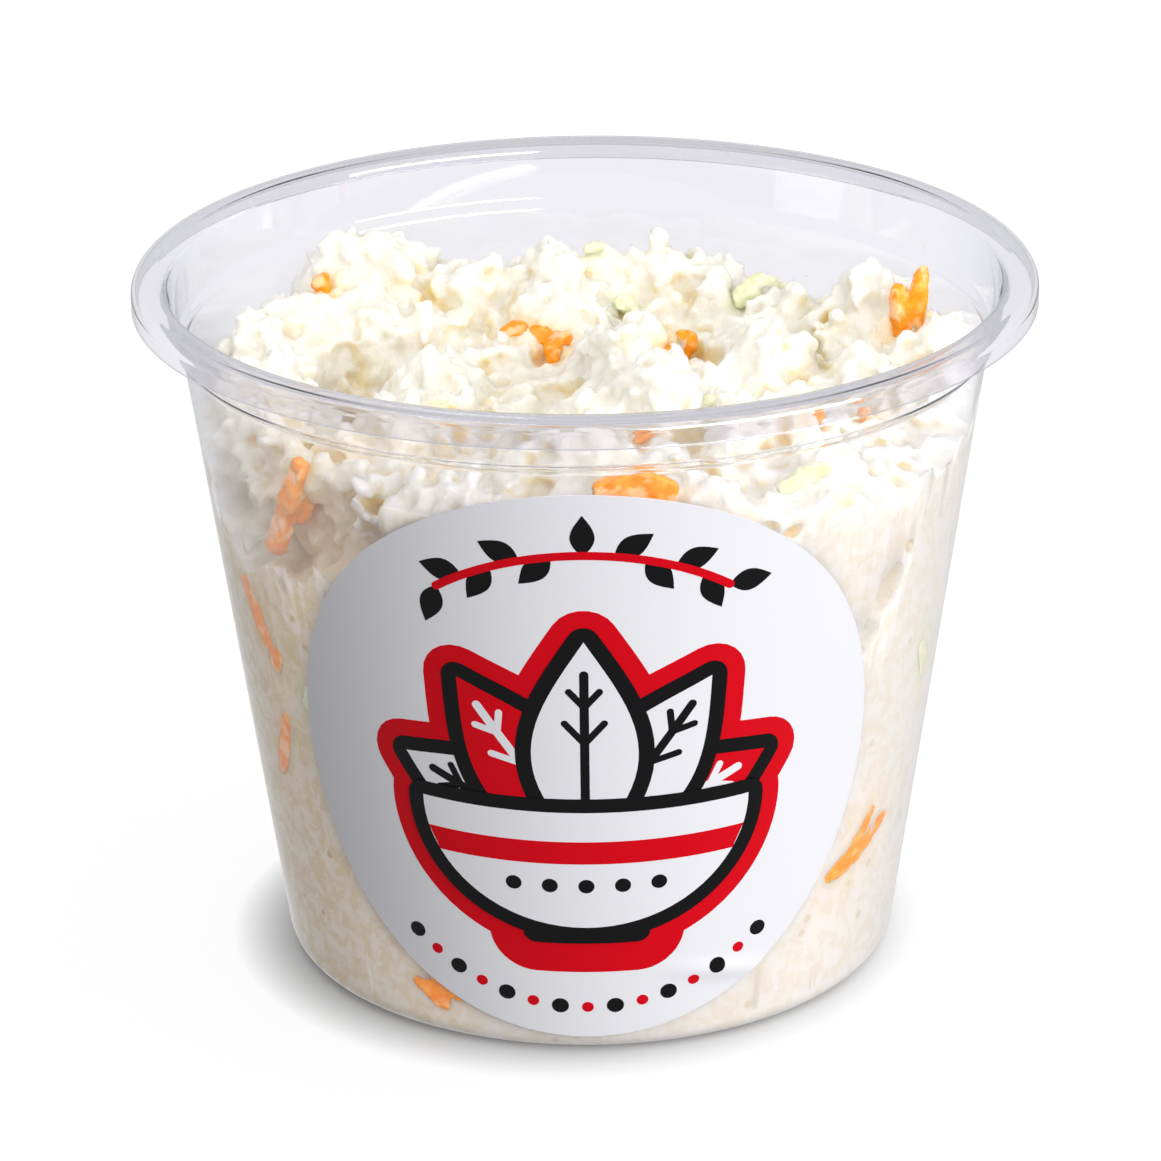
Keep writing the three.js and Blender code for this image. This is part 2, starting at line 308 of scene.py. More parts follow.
cupSize = {
    "rimRadius": cupTop.x / mm, "height": cupTop.z / mm, "sheet": 0.5,
    "coneFootRadius": 31.55, "coneSlope": 0.144, "ledgeHeight": 66.3, "ledgeOut": 0.8, "ledgeUp": 0.6,
    "panelRadius": 25.6, "panelHeight": 1.75, "ringInner": 27.4, "heelRadius": 2.6, "baseTop": 4.9,
    "innerTurn": 1.1, "flangeWidth": 1.1, "outerTurn": 1.0, "lipBottom": 70.3, "steps": 192,
}
coneAngle = math.atan(cupSize["coneSlope"])


def coneRadius(z):
    return cupSize["coneFootRadius"] + cupSize["coneSlope"] * z


def innerRadius(z):
    return coneRadius(z) - cupSize["sheet"] / math.cos(coneAngle)


def arcPoints(x, y, radius, a0, a1, steps):
    angles = [math.radians(a0 + (a1 - a0) * i / steps) for i in range(steps + 1)]
    return [(x + radius * math.cos(a), y + radius * math.sin(a)) for a in angles]


# the middle of the sheet, from the centre of the base out and up to the end of the rim's lip
def sheetMiddle():
    size = cupSize
    half = size["sheet"] / 2

    def wall(z):
        return coneRadius(z) - half / math.cos(coneAngle)

    heelTop = half + size["heelRadius"] * (1 - math.sin(coneAngle))
    heelCentre = wall(heelTop) - size["heelRadius"] * math.cos(coneAngle)
    lip = size["rimRadius"] - half
    collar = lip - size["outerTurn"] - size["flangeWidth"] - size["innerTurn"]
    flangeZ = size["height"] - half
    ledge = size["ledgeHeight"]
    line = [(0, size["panelHeight"]), (12, size["panelHeight"]), (size["panelRadius"], size["panelHeight"])]
    line += [(size["panelRadius"] + 0.6, size["panelHeight"] - 0.15), (size["ringInner"] - 0.5, half + 0.12)]
    line += [(size["ringInner"], half)]
    line += arcPoints(heelCentre, half + size["heelRadius"], size["heelRadius"], -90,
                      -math.degrees(coneAngle), 10)
    line += [(wall(z), z) for z in (12, 24, 36, 48, 60)]
    line += [(wall(ledge) + size["ledgeOut"] * smoothStep(0, 1, t / 8),
              ledge - 0.4 + (size["ledgeUp"] + 0.7) * t / 8) for t in range(9)]
    line += arcPoints(collar + size["innerTurn"], flangeZ - size["innerTurn"], size["innerTurn"], 180, 90, 8)
    line += arcPoints(lip - size["outerTurn"], flangeZ - size["outerTurn"], size["outerTurn"], 90, 0, 8)
    line += [(lip, size["lipBottom"])]
    return line


# the part of that line below the straight wall
def cupBase():
    return [(r, z) for r, z in sheetMiddle() if z < cupSize["baseTop"]]


# the line moved sideways, to the right of its direction
def offsetLine(line, distance):
    moved = []
    for i, (r, z) in enumerate(line):
        r0, z0 = line[max(i - 1, 0)]
        r1, z1 = line[min(i + 1, len(line) - 1)]
        length = math.hypot(r1 - r0, z1 - z0)
        moved.append((r + (z1 - z0) / length * distance, z - (r1 - r0) / length * distance))
    return moved


def makeCup():
    cup = spunShape("plasticCup", sheetMiddle(), cupSize["steps"])
    addModifier(cup, "SOLIDIFY", thickness=cupSize["sheet"] * mm, offset=0.0, use_even_offset=True)
    applyModifiers(cup)
    smoothFaces(cup, 40)
    finishPiece(cup, "cup", clearPet())
    print("cup", len(cup.data.polygons), "faces")


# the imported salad: how its side stands in from the wall, and the height of its top
heap = {
    "level": 61.8, "wallBite": 0.2, "sideStep": 0.55, "sideFoot": 5.0, "steps": 320, "seed": 20,
    "chipRoom": 0.7, "rimGap": 2.3, "poreDepth": 4.0,
    "voxel": 0.42, "triangles": 198000, "highest": 69.6,
    "lumps": [(11.0, 5.0), (5.2, 2.0), (2.6, 0.9)],  # how wide and how high, in mm
    "lumpMean": 4.4, "lumpEdge": 0.75, "lumpRound": 2.5, "lumpWarp": (3.0, 0.7),
    "peakDrop": 2.2, "peakLumps": 0.4, "peakSteep": 1.1, "peakBlunt": 0.28, "peakWarp": (2.4, 0.8),
    "pitSlope": (1.25, 0.5), "softCap": 2, "pocketLumps": (1.3, 0.12), "poreFrom": 0.36,
    "relief": [("curds", "VORONOI", 1.5, -0.42)],
}
noise.seed_set(heap["seed"])  # without it, noise_vector differs from run to run
mounds = [  # x, y, rise, width in mm
    (-24, 25, 4.0, 6.5), (-13, 27, 1.8, 5), (-2, 25, 3.4, 6.5), (20, 24, 0.8, 5),
    (32, 17, 3.0, 6), (37, 0, 4.0, 9), (-32, 9, 2.2, 5.5), (2, -4, 1.2, 12), (6, -33, 2.5, 10),
    (4, -19, 2.0, 11), (-24, 2, -4.5, 6), (21, 12, -3.0, 5), (-9, 34, -3.0, 6), (-35, -20, -3.0, 9),
    (28, 31, -2.5, 5),
]
peaks = [  # x, y, the height of the top in mm, and how wide the clump is
    (-25.5, 24.5, 69.4, 6.0), (-20.5, 26.5, 68.0, 9.5), (-33.0, 8.6, 67.4, 6.5), (-30.5, 15.5, 67.0, 7.0),
    (-15, 26.5, 65.2, 7.0), (-3.5, 26.5, 67.6, 9.0), (2.5, 27.5, 67.2, 7.0), (8.0, 28.4, 67.4, 4.2),
    (13.5, 25.5, 65.2, 7.0), (20.5, 22.5, 64.4, 6.5), (31.4, 18.4, 69.4, 5.2), (37.0, 7.5, 67.2, 7.0),
    (36.5, -3.5, 66.6, 8.5), (-3.0, 18.5, 66.0, 10.5), (6.0, 13.0, 64.6, 7.0), (-15.0, 14.5, 65.0, 11.5),
    (2.0, 4.0, 64.8, 11.0), (-6.5, 9.0, 63.8, 8.0), (13.0, -9.0, 64.0, 10.0),
    (-15.5, 1.5, 64.4, 10.5), (13.5, 2.5, 64.0, 9.0), (28.5, 3.0, 64.8, 9.0), (0.0, -8.0, 64.2, 12.0),
]
pits = [  # x, y, radius, depth
    (-24.5, 6.0, 3.6, 6.0), (22.5, 13.5, 3.4, 4.5), (-11, 33, 4.5, 3.5), (28, 27, 4.0, 3.5),
]
# places where the salad stands clear of the wall: compass angle (0 is the label's side, 90 the right),
# height, half width and half height in mm, slant, and depth
pockets = [
    (-57, 57.0, 20, 9.0, 0.05, 4.2), (-84, 62, 14, 5, 0, 4.5), (-25, 66, 9, 4.5, 0, 3.0),
    (50, 45.5, 2.0, 5.6, 0.6, 2.8), (40, 60.5, 3.5, 2.2, 0.3, 1.6), (28, 58, 2.6, 1.5, -0.3, 1.2),
    (118, 58, 9, 5, -0.2, 4.0), (150, 50, 3, 6, 0.5, 2.2), (186, 60, 12, 5, 0.1, 4.5),
    (214, 44, 5, 3, 0.4, 2.0), (246, 57, 8, 6, -0.3, 4.0), (172, 27, 4, 2.5, -0.5, 1.6),
    (262, 33, 2.5, 4.5, 0.6, 1.6), (104, 22, 3, 2, 0.2, 1.3), (226, 14, 4, 2, -0.2, 1.4),
]


# rounded lumps with creases between them
def lumpiness(place):
    coarse, fine = heap["lumpWarp"]
    warped = place + noise.noise_vector(place * 0.17) * coarse
    warped += noise.noise_vector(place * 0.6) * fine
    total = 0.0
    for wide, rise in heap["lumps"]:
        distances, middles = noise.voronoi(warped / wide)
        rise *= 0.6 + 0.8 * noise.cell(middles[0] * 7)
        total += rise * (1 - min(1.0, distances[0] / heap["lumpEdge"]) ** heap["lumpRound"])
    return total


def heapHeight(x, y):
    place = Vector((x, y, 0))
    lumps = lumpiness(place)
    height = heap["level"] - heap["lumpMean"] + lumps
    height += sum(rise * math.exp(-((x - mx) ** 2 + (y - my) ** 2) / wide ** 2)
                  for mx, my, rise, wide in mounds)
    coarse, fine = heap["peakWarp"]
    warped = place + noise.noise_vector(place * 0.25 + Vector((3, 1, 4))) * coarse
    warped += noise.noise_vector(place * 0.8) * fine
    for px, py, top, wide in peaks:
        blunt = heap["peakBlunt"] * wide
        drop = math.hypot(warped.x - px, warped.y - py, blunt) - blunt
        height = max(height, top - heap["peakDrop"] + heap["peakLumps"] * lumps - heap["peakSteep"] * drop)
    for px, py, radius, depth in pits:
        height -= depth * smoothStep(*heap["pitSlope"], math.hypot(warped.x - px, warped.y - py) / radius)
    soft = heap["softCap"]  # the last of the height is levelled off softly
    over = max(0.0, height - heap["highest"] + soft)
    return height - over + soft * (1 - math.exp(-over / soft))


def compass(x, y):
    return math.degrees(math.atan2(x, -y))


# how far the salad's side stands in from the wall
def sideGap(angle, z):
    radius = innerRadius(z)
    a = math.radians(angle)
    wobble = Vector((math.sin(a) * radius, -math.cos(a) * radius, z))
    ragged = noise.noise(wobble * 0.28) * 0.5 + noise.noise(wobble * 0.6) * 0.25
    gap = 0.0
    for centre, height, halfWidth, halfHeight, slant, depth in pockets:
        across = ((angle - centre + 180) % 360 - 180) / 57.3 * radius  # in mm along the wall
        up = z - height
        across -= slant * up
        far = math.hypot(across / halfWidth, up / halfHeight) + ragged
        gap = max(gap, depth * smoothStep(1.0, 0.84, far))
    deeper, lumpy = heap["pocketLumps"]
    gap *= deeper - lumpy * lumpiness(wobble)
    rim = smoothStep(heap["level"] - 3.5, heap["level"] + 3, z + 4 * ragged)  # falls back near the top
    rightSide = smoothStep(-0.2, 0.8, math.sin(a))  # the right side is packed up to the ledge
    gap = max(gap, heap["rimGap"] * rim * (1 - rightSide))
    pore = noise.noise(wobble * 0.55 + Vector((7, 3, 1))) * 0.7 + noise.noise(wobble * 1.3) * 0.3
    return gap + heap["poreDepth"] * max(0.0, pore - heap["poreFrom"])


# along the base the salad reaches a little into the sheet, so that no air shows between them
def saladBase():
    deep = cupSize["sheet"] / 2 - heap["wallBite"]
    return [(max(0.0, r), z) for r, z in offsetLine(cupBase(), -deep)]


# the salad under its chopped pieces, a spun body whose side follows sideGap
def makeCore():
    level = heap["level"]
    foot = heap["sideFoot"]
    edge = innerRadius(level)
    heights = np.linspace(foot, level, int((level - foot) / heap["sideStep"]))
    line = saladBase() + [(innerRadius(z), z) for z in heights]
    line += [(edge * (1 - i / int(edge)), level) for i in range(1, int(edge) + 1)]
    core = spunShape("coleslawHeap", line, heap["steps"])
    for vertex in core.data.vertices:
        x, y, z = vertex.co / mm
        if z < foot - 0.05:
            continue
        radius, edge = max(1e-6, math.hypot(x, y)), innerRadius(z)
        wanted = max(0.0, radius - (sideGap(compass(x, y), z) - heap["wallBite"]) * radius / edge)
        x, y = x * wanted / radius, y * wanted / radius
        top = heapHeight(x, y) - heap["chipRoom"]
        if z > min(level, top) - 1e-3:
            z = top
            if radius > edge - 0.01 and z < cupSize["ledgeHeight"]:  # the top's edge leans out with the wall
                x, y = x * innerRadius(z) / edge, y * innerRadius(z) / edge
        vertex.co = Vector((x, y, z)) * mm
    return core


# a rounded chip, 1 mm each way, drawn out to points and curled along X
def chipTemplate(curl, point):
    deselectAll()
    bpy.ops.mesh.primitive_ico_sphere_add(subdivisions=2, radius=0.5, location=(0, 0, 0))
    chip = bpy.context.object
    for vertex in chip.data.vertices:
        x, y, z = vertex.co
        y *= 1 - point * abs(x)
        vertex.co = (x, y, z + curl * (0.25 - x * x))
    points = np.array([v.co[:] for v in chip.data.vertices])
    faces = [tuple(p.vertices) for p in chip.data.polygons]
    bpy.data.objects.remove(chip)
    return points, faces


def joinedCopies(name, template, places):
    points, faces = template
    allPoints = [points @ np.array(turn.to_3x3()).T + np.array(turn.translation) for turn in places]
    allFaces = [tuple(i + k * len(points) for i in face) for k in range(len(places)) for face in faces]
    return meshPiece(name, np.vstack(allPoints), allFaces)


# a piece of the given size, lying on the surface that `normal` leaves, tipped by up to `tilt`
def placeOn(rng, spot, normal, size, tilt):
    stand = normal.to_track_quat("Z", "Y")
    spin = Quaternion((0, 0, 1), rng.uniform(0, math.tau))
    a = rng.uniform(0, math.tau)
    tip = Quaternion(Vector((math.cos(a), math.sin(a), 0)), rng.uniform(-tilt, tilt))
    turn = (stand @ tip @ spin).to_matrix().to_4x4()
    return Matrix.Translation(spot) @ turn @ Matrix.Diagonal((*size, 1))


chips = {
    "topCount": 2600, "sideCount": 620, "lipCount": 70, "fromWall": 2.4, "sideFrom": 36, "sideRoom": 1.2,
    "lipAngles": (-95, 20), "lipFrom": 42, "lipRoom": (0.25, 1.3), "lipInside": 0.45,
    "lipSize": ((0.9, 1.8), (0.5, 0.8), (1.6, 3.6)), "lipTilt": 0.35,
    "sideGrowth": (1.5, 1.6, 1.5), "sideThickest": 2.0,
    # share of all, length, width and thickness in mm, how far it is tipped, how far it stands out
    "kinds": {
        "leaf": (0.18, (1.8, 3.8), (1.2, 2.4), (0.8, 1.1), 0.8, 0.25),
        "rib": (0.20, (1.3, 2.8), (1.0, 1.6), (0.9, 1.3), 0.9, 0.20),
        "cream": (0.54, (1.1, 2.3), (1.1, 2.3), (1.0, 1.8), 0.6, 0.15),
        "spike": (0.08, (0.6, 0.9), (0.6, 0.9), (1.6, 3.0), 0.8, 0.6),
    },
}


# a point on the heap's top and the direction that leaves the heap there
def topSpot(rng):
    radius = (innerRadius(heap["level"]) - chips["fromWall"]) * math.sqrt(rng.random())
    a = rng.uniform(0, math.tau)
    x, y = radius * math.cos(a), radius * math.sin(a)
    z = heapHeight(x, y)
    leaving = Vector((z - heapHeight(x + 0.5, y), z - heapHeight(x, y + 0.5), 0.5))
    return Vector((x, y, z)), leaving.normalized()


# the same on the side, where it stands clear of the wall
def sideSpot(rng):
    gap = 0
    while gap < chips["sideRoom"]:
        angle, z = rng.uniform(-180, 180), rng.uniform(chips["sideFrom"], heap["level"])
        gap = sideGap(angle, z)
    a = math.radians(angle)
    out = Vector((math.sin(a), -math.cos(a), 0))
    leaving = out + Vector((rng.gauss(0, 0.3), rng.gauss(0, 0.3), 0.2 + rng.gauss(0, 0.3)))
    return out * (innerRadius(z) - gap) + Vector((0, 0, z)), leaving.normalized()


# on the wall, along the edge of a place that stands clear of it
def lipSpot(rng):
    gap = 0
    least, most = chips["lipRoom"]
    while not least < gap < most:
        angle, z = rng.uniform(*chips["lipAngles"]), rng.uniform(chips["lipFrom"], heap["level"] - 5)
        gap = sideGap(angle, z)
    a = math.radians(angle)
    reach = innerRadius(z) - chips["lipInside"]
    return Vector((math.sin(a) * reach, -math.cos(a) * reach, z))


def makeChoppedPieces():
    rng = random.Random(heap["seed"])
    kinds = list(chips["kinds"])
    shares = [chips["kinds"][kind][0] for kind in kinds]
    places = {kind: [] for kind in kinds}
    for i in range(chips["topCount"] + chips["sideCount"]):
        spot, out = topSpot(rng) if i < chips["topCount"] else sideSpot(rng)
        kind = rng.choices(kinds, shares)[0]
        _, length, width, thick, tilt, lift = chips["kinds"][kind]
        size = (rng.uniform(*length), rng.uniform(*width), rng.uniform(*thick))
        if i >= chips["topCount"]:  # the side has rounder, larger lumps
            size = [value * growth for value, growth in zip(size, chips["sideGrowth"])]
            size[2] = min(size[2], chips["sideThickest"])
        places[kind].append(placeOn(rng, spot + out * (lift - 0.5), out, size, tilt))
    for _ in range(chips["lipCount"]):
        size = [rng.uniform(*span) for span in chips["lipSize"]]
        places["spike"].append(placeOn(rng, lipSpot(rng), Vector((0, 0, 1)), size, chips["lipTilt"]))
    templates = {"leaf": chipTemplate(0.45, 0.9), "rib": chipTemplate(0.2, 0.6),
                 "cream": chipTemplate(0.0, 0.0), "spike": chipTemplate(0.0, 1.4)}
    print("chopped pieces", {kind: len(places[kind]) for kind in kinds})
    return [joinedCopies(kind, templates[kind], places[kind]) for kind in kinds]


def joinAll(target, others):
    makeActive(target)
    for other in others:
        other.select_set(True)
    bpy.ops.object.join()
    return target


# how far each colour reaches, in mm, its largest share, the rays that look for hollows, and how much painted
# shade the free and the pressed surface take
reaches = {"hollowReach": 8, "hollowRays": 16, "hollowFrom": 0.2, "stainReach": 1.5, "stainShare": 0.7,
           "greenReach": 1.0, "greenShare": 0.5, "paintedShadeFree": 0.4, "paintedShadePressed": 0.5}
# the dressing round the carrot in the open place at the front left is stained
juice = {"middle": (-28.0, -22.0, 54.0), "reach": 10.0, "share": 0.5}


def storeAttribute(mesh, name, values):
    attribute = mesh.attributes.new(name, "FLOAT", "POINT")
    attribute.data.foreach_set("value", np.asarray(values, np.float32))


# 0 in the open to 1 deep in a hollow, from how far rays get before they meet the salad again
def hollowness(piece, reach, rays):
    tree = BVHTree.FromObject(piece, bpy.context.evaluated_depsgraph_get())
    rng = random.Random(5)
    directions = [Vector((rng.gauss(0, 1), rng.gauss(0, 1), rng.gauss(0, 1))).normalized()
                  for _ in range(rays)]
    values = np.zeros(len(piece.data.vertices), np.float32)
    for i, vertex in enumerate(piece.data.vertices):
        normal = vertex.normal
        start = vertex.co + normal * (0.05 * mm)
        blocked = 0.0
        for direction in directions:
            ray = (direction + normal * 1.05).normalized()
            hit = tree.ray_cast(start, ray, reach)
            if hit[0] is not None:
                blocked += 1 - (hit[3] / reach) ** 2
        values[i] = blocked / rays
    return values


# 1 where another piece touches this one, falling off over the reach
def nearness(piece, other, reach):
    points = [v.co for v in other.data.vertices]
    tree = KDTree(len(points))
    for i, point in enumerate(points):
        tree.insert(point, i)
    tree.balance()
    far = np.array([tree.find(v.co)[2] for v in piece.data.vertices])
    return np.exp(-(far / reach) ** 2)


# the point of a line of (radius, height) points that lies nearest
def nearestOnLine(line, r, z):
    spot, found = Vector((r, z)), []
    for start, end in zip(line, line[1:]):
        start, along = Vector(start), Vector(end) - Vector(start)
        found.append(start + along * min(1.0, max(0.0, (spot - start).dot(along) / along.length_squared)))
    return min(found, key=lambda point: (point - spot).length)


# how near the wall the salad is pressed, how far up that shows, and where its free surface starts, in mm
press = {"from": 0.8, "flat": 0.5, "shows": 0.35, "showsTo": 64, "freeFrom": 6}


# what comes near the plastic is pressed flat on it
def pressOnWall(piece):
    base = saladBase()
    for vertex in piece.data.vertices:
        x, y, z = vertex.co / mm
        radius = max(1e-6, math.hypot(x, y))
        wanted = radius
        if z < cupSize["baseTop"]:
            wanted, z = nearestOnLine(base, radius, z)
        elif radius > innerRadius(z) - press["from"]:
            wall = innerRadius(min(z, cupSize["ledgeHeight"]))
            share = smoothStep(wall - press["from"], wall - press["flat"], radius)
            wanted += (wall + heap["wallBite"] - radius) * share
        vertex.co = Vector((x * wanted / radius, y * wanted / radius, min(z, heap["highest"]))) * mm


# 1 where the salad lies on the plastic, 0 where it is free
def pressedShare(place):
    if place.z < cupSize["baseTop"]:
        return 1.0
    room = innerRadius(place.z) - math.hypot(place.x, place.y)
    return smoothStep(press["shows"], 0.0, room) if place.z < press["showsTo"] else 0.0


# painted shade: 1 on the side away from the softbox at the right, where the colour is darkened and warmed to
# stand in for light that has come the long way through the salad
def paintedShadeShare(place, normal):
    towards = Vector((0.68, -0.52, 0.52))
    outwards = Vector((place.x, place.y, 0)).normalized()
    away = smoothStep(0.35, -0.6, towards.dot((normal + outwards).normalized()))
    return smoothStep(65, 54, place.z) * (0.06 + 0.94 * away)


# full weight where the salad's surface is free, none where it is pressed on the plastic
def freeSurfaceGroup(piece):
    group = piece.vertex_groups.new(name="freeSurface")
    for vertex in piece.data.vertices:
        x, y, z = vertex.co / mm
        room = innerRadius(z) - math.hypot(x, y) if z > press["freeFrom"] else 0
        group.add([vertex.index], smoothStep(0.1, 1.0, room), "REPLACE")
    return group.name


# x, y, how far the middle stands above the salad under it, length, width, thickness, all in mm, then
# the turn about Z, the rise from the level and the roll, in degrees
carrots = [
    (33.0, 11.2, 0.6, 8.0, 2.4, 1.6, 120, 74, 10), (34.8, 11.8, 0.8, 7.4, 1.8, 1.4, 60, 76, 30),
    (-5.4, 12.4, 1.1, 5.4, 2.6, 1.7, -12, -6, 30), (-2.8, 10.8, 1.0, 3.8, 2.4, 1.7, 55, 10, -20),
    (-7.6, 14.0, 1.0, 3.4, 2.1, 1.6, 20, 15, 10), (-3.2, 8.8, 0.8, 2.8, 1.8, 1.6, 80, 30, 0),
    (10.4, 13.4, 1.5, 3.2, 2.8, 1.4, 35, 45, 50), (9.0, 11.4, 0.3, 2.0, 1.4, 1.1, 0, 10, 0),
    (-27.5, 18.0, 0.3, 3.0, 2.0, 1.4, 80, 70, 0), (22.0, -21.0, 0.1, 4.0, 1.5, 1.0, 40, 15, 20),
    (-14.0, -12.0, 0.0, 2.6, 1.3, 1.0, 150, 10, 10), (6.0, -24.0, 0.1, 3.0, 1.6, 1.0, 10, 20, 0),
    (28.0, -8.0, 0.0, 2.4, 1.2, 0.9, 70, 10, 0),
]
greens = [
    (18.2, 24.2, 0.7, 5.6, 3.2, 0.9, 20, 10, 50), (20.0, 25.8, 1.0, 4.0, 1.4, 0.7, 20, 12, 60),
    (4.6, 21.6, 0.9, 4.6, 2.4, 1.0, 50, -25, 50), (1.0, 27.6, 0.3, 2.4, 1.6, 0.8, 10, 10, 10),
    (5.4, 19.6, 0.1, 2.4, 1.4, 0.8, 60, 20, 0), (-19.0, -4.0, 0.1, 3.4, 1.8, 0.8, 110, 15, 30),
    (12.0, -13.0, 0.0, 2.6, 1.5, 0.8, 30, 0, 20),
]
# strips that show through the wall: compass angle and height of both ends, width, all in mm and degrees
wallCarrots = [
    (-65.5, 46.5, -60.5, 39.4, 2.8), (-57.5, 32.4, -64.5, 24.0, 2.2), (-63.0, 43.0, -58.5, 38.2, 1.8),
    (-56.0, 39.4, -60.0, 37.4, 1.8), (-33.5, 6.6, -27.0, 3.6, 2.0), (-30.0, 7.2, -24.0, 4.8, 1.6),
    (62.0, 19.4, 44.5, 15.2, 2.4), (57.0, 21.4, 50.0, 17.0, 1.4), (0.5, 64.2, 12.5, 63.6, 3.4),
    (112.0, 41.0, 121.0, 37.0, 2.0), (141.0, 16.0, 149.0, 20.5, 1.7), (168.0, 48.0, 176.0, 51.0, 2.2),
    (198.0, 31.0, 205.0, 27.0, 1.6), (232.0, 50.0, 238.0, 44.0, 2.1), (251.0, 20.0, 258.0, 24.5, 1.6),
    (96.0, 54.0, 101.0, 50.0, 1.8), (182.0, 9.0, 190.0, 11.0, 1.9),
]
wallGreens = [
    (-49.0, 37.0, -51.0, 34.2, 2.2), (27.0, 62.4, 36.0, 63.4, 2.0), (66.0, 38.0, 70.0, 33.0, 2.0),
    (129.0, 29.0, 134.0, 33.0, 2.4), (160.0, 38.0, 167.0, 34.0, 2.2), (219.0, 24.0, 226.0, 20.0, 2.4),
    (262.0, 47.0, 268.0, 42.0, 2.6),
]
# strips in the open place at the front left: from x, y, z to x, y, z, then width and thickness
pocketCarrots = [
    (-27.6, -25.6, 62.0, -29.6, -23.2, 55.6, 2.5, 1.8), (-29.4, -23.4, 56.6, -30.9, -20.8, 50.4, 2.3, 1.6),
    (-27.0, -24.0, 58.6, -28.4, -21.4, 53.8, 1.6, 1.3),
]
# how far a strip's outer face reaches into the plastic, its thickness, how much of that is pressed flat, and
# its roughness, in mm
shredForm = {"wallBite": 0.3, "thick": 1.8, "pushed": 0.4, "rough": 0.7, "roughSize": 1.1, "voxel": 0.28}


def slantedPlace(x, y, z, length, width, thick, turn, rise, roll):
    place = Matrix.Translation((x, y, z)) @ Matrix.Rotation(math.radians(turn), 4, "Z")
    place = place @ Matrix.Rotation(-math.radians(rise), 4, "Y") @ Matrix.Rotation(math.radians(roll), 4, "X")
    return place @ Matrix.Diagonal((length, width, thick, 1))


def shredTemplate(curl):
    deselectAll()
    bpy.ops.mesh.primitive_cube_add(size=1, location=(0, 0, 0))
    shred = bpy.context.object
    addModifier(shred, "BEVEL", width=0.16, segments=3)
    addModifier(shred, "SUBSURF", levels=2, render_levels=2, subdivision_type="SIMPLE")
    applyModifiers(shred)
    for vertex in shred.data.vertices:
        x, y, z = vertex.co
        y *= 1 - 1.7 * x * x + 0.08 * math.sin(9 * x)
        z *= 1 - 1.2 * x * x
        z += curl * (0.25 - x * x) + 0.08 * math.sin(7 * x + 2 * y)
        vertex.co = (x, y + 0.08 * math.sin(5 * x + 1), z)
    points = np.array([v.co[:] for v in shred.data.vertices])
    faces = [tuple(p.vertices) for p in shred.data.polygons]
    bpy.data.objects.remove(shred)
    return points, faces


# a strip from one place to another, with its flat side towards `out`
def stripPlace(start, end, out, width, thick):
    along = end - start
    across = out.cross(along).normalized()
    turn = Matrix((along.normalized(), across, along.cross(across).normalized())).transposed().to_4x4()
    return Matrix.Translation((start + end) / 2) @ turn @ Matrix.Diagonal((along.length, width, thick, 1))


def onInnerWall(angle, z, inwards):
    a = math.radians(angle)
    return Vector((math.sin(a), -math.cos(a), 0)) * (innerRadius(z) - inwards) + Vector((0, 0, z))


def wallStrip(angle0, z0, angle1, z1, width):
    inwards = shredForm["thick"] / 2 - shredForm["wallBite"] - shredForm["pushed"]
    start, end = onInnerWall(angle0, z0, inwards), onInnerWall(angle1, z1, inwards)
    return stripPlace(start, end, Vector((start.x + end.x, start.y + end.y, 0)), width, shredForm["thick"])


# the salad's height under each x and y
def settled(table, tree):
    rows = []
    for x, y, lift, *rest in table:
        hit = tree.ray_cast(Vector((x, y, 90)) * mm, Vector((0, 0, -1)))[0]
        rows.append((x, y, hit.z / mm + lift, *rest))
    return rows


def makeShreds(name, places, curl, material):
    shreds = joinedCopies(name, shredTemplate(curl), places)
    addModifier(shreds, "REMESH", mode="VOXEL", voxel_size=shredForm["voxel"] * mm)
    addModifier(shreds, "SMOOTH", factor=0.5, iterations=3)
    texture = bpy.data.textures.new(name, "CLOUDS")
    texture.noise_scale = shredForm["roughSize"] * mm
    addModifier(shreds, "DISPLACE", texture=texture, strength=shredForm["rough"] * mm, mid_level=0.5,
                texture_coords="LOCAL")
    applyModifiers(shreds)
    for vertex in shreds.data.vertices:  # none comes out through the plastic
        most = (innerRadius(vertex.co.z / mm) + shredForm["wallBite"]) * mm
        radius = math.hypot(vertex.co.x, vertex.co.y)
        if radius > most and vertex.co.z < cupSize["ledgeHeight"] * mm:
            vertex.co.x, vertex.co.y = vertex.co.x * most / radius, vertex.co.y * most / radius
    smoothFaces(shreds, 180)
    finishPiece(shreds, "coleslaw", material)
    print(name, len(shreds.data.polygons), "faces")
    return shreds


